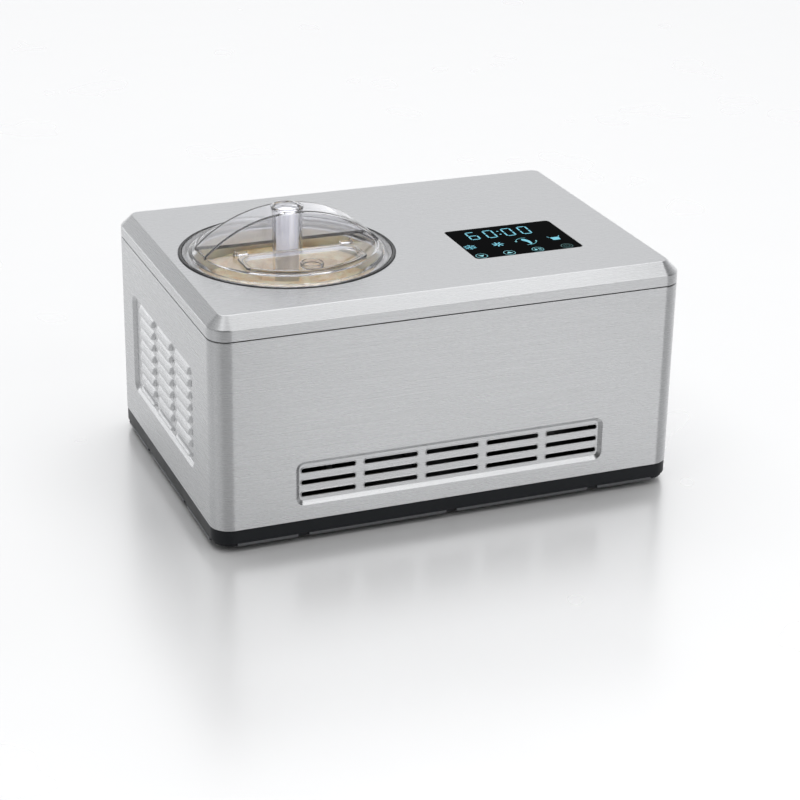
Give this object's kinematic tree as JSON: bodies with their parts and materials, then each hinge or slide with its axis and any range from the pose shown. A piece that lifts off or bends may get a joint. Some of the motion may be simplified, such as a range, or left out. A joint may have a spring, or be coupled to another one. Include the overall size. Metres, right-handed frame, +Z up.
{
  "type": "ice cream maker",
  "caption": "Countertop self-cooling ice cream maker: steel box with vents and side louvres, clear domed lid with arched grip and refill cap, lift-out bowl with paddle, touch panel.",
  "frame": {"origin": "on the table, under the middle of the housing", "axes": "+Z up, +X to the right as the user faces the front, +Y to the rear"},
  "size_m": [0.425, 0.295, 0.2496],
  "materials": {
    "brushed_housing": "brushed along the sheet, satin",
    "base_plastic": "fine moulded grain",
    "foot_rubber": "matt",
    "frame_plastic": "plain moulded",
    "ring_plastic": "satin",
    "zinc_steel": "zinc plated",
    "bowl_aluminium": "satin anodised",
    "well_aluminium": "satin",
    "copper_tube": "drawn copper",
    "foam": "rigid insulating foam",
    "compressor_black": "semi-gloss black",
    "black_plastic": "plain moulded",
    "circuit_board": "solder mask",
    "gear_plastic": "acetal",
    "handle_plastic": "smooth",
    "paddle_plastic": "clear, slightly frosted",
    "clear_lid": "clear, polished",
    "panel_glass": "black, back-printed, polished"
  },
  "bodies": {
    "housing": {"base_tray": "base_plastic", "housing_wrap": "brushed_housing", "rear_panel": "brushed_housing", "top_cover": "brushed_housing", "cover_frame": "frame_plastic", "bowl_seat_ring": "ring_plastic", "foot_front_left": "foot_rubber", "foot_front_right": "foot_rubber", "foot_rear_left": "foot_rubber", "foot_rear_right": "foot_rubber", "tie_rod_front_left": "zinc_steel", "tie_rod_front_right": "zinc_steel", "tie_rod_rear_left": "zinc_steel", "tie_rod_rear_right": "zinc_steel", "rear_screw_lower_left": "zinc_steel", "rear_screw_lower_right": "zinc_steel", "rear_screw_upper_left": "zinc_steel", "rear_screw_upper_right": "zinc_steel", "evaporator_well": "well_aluminium", "evaporator_coil": "copper_tube", "foam_jacket": "foam", "compressor_shell": "compressor_black", "compressor_sump": "compressor_black", "compressor_pump": "zinc_steel", "compressor_terminal_box": "black_plastic", "grommet_front_left": "foot_rubber", "grommet_front_right": "foot_rubber", "grommet_rear_left": "foot_rubber", "grommet_rear_right": "foot_rubber", "condenser_fins": "well_aluminium", "condenser_coil": "copper_tube", "fan_shroud": "black_plastic", "fan_motor": "black_plastic", "filter_drier": "copper_tube", "discharge_line": "copper_tube", "liquid_line": "copper_tube", "capillary_tube": "copper_tube", "suction_line": "copper_tube", "gearbox_case": "frame_plastic", "gearbox_lid": "frame_plastic", "drive_motor": "zinc_steel", "shaft_bush": "copper_tube", "shaft_seal": "foot_rubber", "control_glass": "panel_glass", "display_bezel": "black_plastic", "display_board": "circuit_board", "power_board": "circuit_board", "board_bracket": "zinc_steel", "display_cable": "black_plastic", "cord_gland": "black_plastic", "cord_gland_nut": "black_plastic"},
    "drive_shaft": {"drive_shaft": "zinc_steel", "drive_gear": "gear_plastic"},
    "motor_pinion": {"motor_pinion": "gear_plastic"},
    "ice_bowl": {"ice_bowl": "bowl_aluminium"},
    "mixing_paddle": {"mixing_paddle": "paddle_plastic"},
    "bowl_handle": {"bowl_handle": "handle_plastic"},
    "lid": {"lid_dome": "clear_lid"},
    "refill_cap": {"refill_cap": "clear_lid"},
    "fan_rotor": {"fan_rotor": "black_plastic"}
  },
  "joints": [
    {"name": "shaft_spin", "type": "hinge", "parent": "housing", "child": "drive_shaft", "pos_m": [-0.101, -0.0065, 0.06], "axis": [0, 0, 1], "continuous": true},
    {"name": "pinion_spin", "type": "hinge", "parent": "housing", "child": "motor_pinion", "pos_m": [-0.053, -0.0065, 0.045], "axis": [0, 0, 1], "continuous": true},
    {"name": "bowl_lift", "type": "slide", "parent": "housing", "child": "ice_bowl", "axis": [0, 0, 1], "range_m": [0, 0.15]},
    {"name": "paddle_spin", "type": "hinge", "parent": "ice_bowl", "child": "mixing_paddle", "pos_m": [-0.101, -0.0065, 0.15], "axis": [0, 0, 1], "continuous": true},
    {"name": "lid_lift", "type": "slide", "parent": "ice_bowl", "child": "lid", "axis": [0, 0, 1], "range_m": [0, 0.15]},
    {"name": "handle_raise", "type": "hinge", "parent": "ice_bowl", "child": "bowl_handle", "pos_m": [-0.101, -0.0065, 0.204], "axis": [1, 0, 0], "range_deg": [0, 90]},
    {"name": "cap_hinge", "type": "hinge", "parent": "lid", "child": "refill_cap", "pos_m": [-0.101, -0.0243, 0.2171], "axis": [-1, 0, 0], "range_deg": [0, 93]},
    {"name": "fan_spin", "type": "hinge", "parent": "housing", "child": "fan_rotor", "pos_m": [0.152, 0.0645, 0.07], "axis": [1, 0, 0], "continuous": true}
  ],
  "couplings": [
    {"joint": "pinion_spin", "follows": "shaft_spin", "ratio": -3},
    {"joint": "paddle_spin", "follows": "shaft_spin", "ratio": 1},
    {"joint": "handle_raise", "follows": "lid_lift", "rad_per_m": 10.47}
  ]
}
